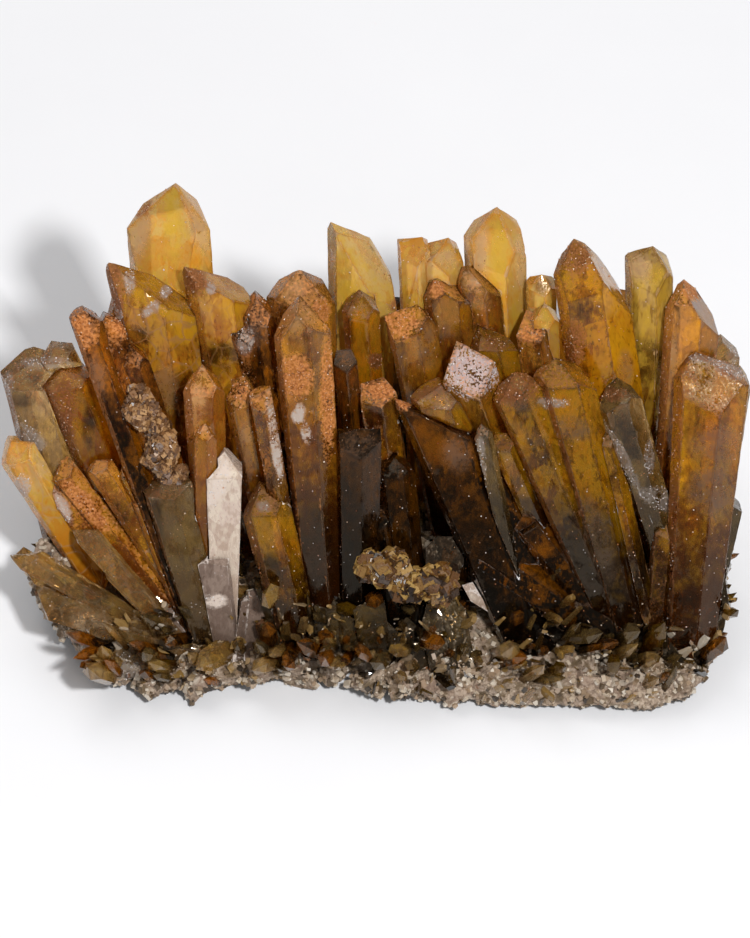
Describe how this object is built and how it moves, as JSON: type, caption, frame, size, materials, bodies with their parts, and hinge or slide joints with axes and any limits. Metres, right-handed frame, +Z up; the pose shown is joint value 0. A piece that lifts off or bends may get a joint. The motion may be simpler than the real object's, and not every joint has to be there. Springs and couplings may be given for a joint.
{
  "type": "baryte specimen",
  "caption": "Cluster of amber, yellow and smoky pointed crystals fanning up from a flat pale granular matrix.",
  "frame": {"origin": "middle of the bounding box at its base, on the plane the specimen stands on", "axes": "+X along the length of the cluster, to the right as pictured; -Y towards the pictured front; +Z up"},
  "size_m": [0.1118, 0.0606, 0.06],
  "materials": {
    "coated_crystal": "amber crystal under a sandy coat",
    "smoky_crystal": "smoky brown crystal",
    "amber_crystal": "clear amber crystal, smoky at the root",
    "olive_crystal": "hazy olive-grey crystal",
    "pale_crystal": "pale hazy crystal",
    "cleavage_crystal": "pinkish white cleavage face",
    "yellow_crystal": "clear yellow crystal",
    "grains": "orange-brown granular crust",
    "matrix": "cream granular rock"
  },
  "bodies": {
    "root": {"big_long": "coated_crystal", "broad_dark": "smoky_crystal", "broad_pair": "amber_crystal", "right_broad": "amber_crystal", "clear_front": "olive_crystal", "slender_blade": "pale_crystal", "tan_point": "coated_crystal", "orange_grey": "coated_crystal", "white_cleavage": "cleavage_crystal", "amber_low": "amber_crystal", "olive_face": "olive_crystal", "left_blades": "smoky_crystal", "orange_block": "amber_crystal", "far_left_block": "pale_crystal", "yellow_edge": "yellow_crystal", "left_prisms": "coated_crystal", "dark_centre": "smoky_crystal", "button_crystal": "smoky_crystal", "dark_plates": "smoky_crystal", "white_blade": "cleavage_crystal", "grey_matte": "pale_crystal", "right_blocks": "pale_crystal", "right_slivers": "amber_crystal", "far_right_pale": "pale_crystal", "cracked_block": "amber_crystal", "orange_triangle": "amber_crystal", "dark_rhomb": "smoky_crystal", "lilac_top": "coated_crystal", "red_top": "coated_crystal", "round_back": "amber_crystal", "small_amber": "amber_crystal", "grey_block": "coated_crystal", "small_grey": "pale_crystal", "sandy_pair": "coated_crystal", "coated_block": "coated_crystal", "brown_block": "amber_crystal", "big_right": "amber_crystal", "right_coated": "coated_crystal", "dark_point": "amber_crystal", "back_tall_left": "yellow_crystal", "back_hazy": "coated_crystal", "back_blade": "yellow_crystal", "back_pair": "yellow_crystal", "back_brown": "coated_crystal", "back_tall_right": "yellow_crystal", "back_small_pair": "yellow_crystal", "back_right": "yellow_crystal", "rear_left": "amber_crystal", "rear_middle": "smoky_crystal", "rear_right": "coated_crystal", "left_fan": "pale_crystal", "front_splinters": "olive_crystal", "sandy_druse": "grains", "orange_druse": "grains", "matrix": "matrix"}
  },
  "joints": []
}
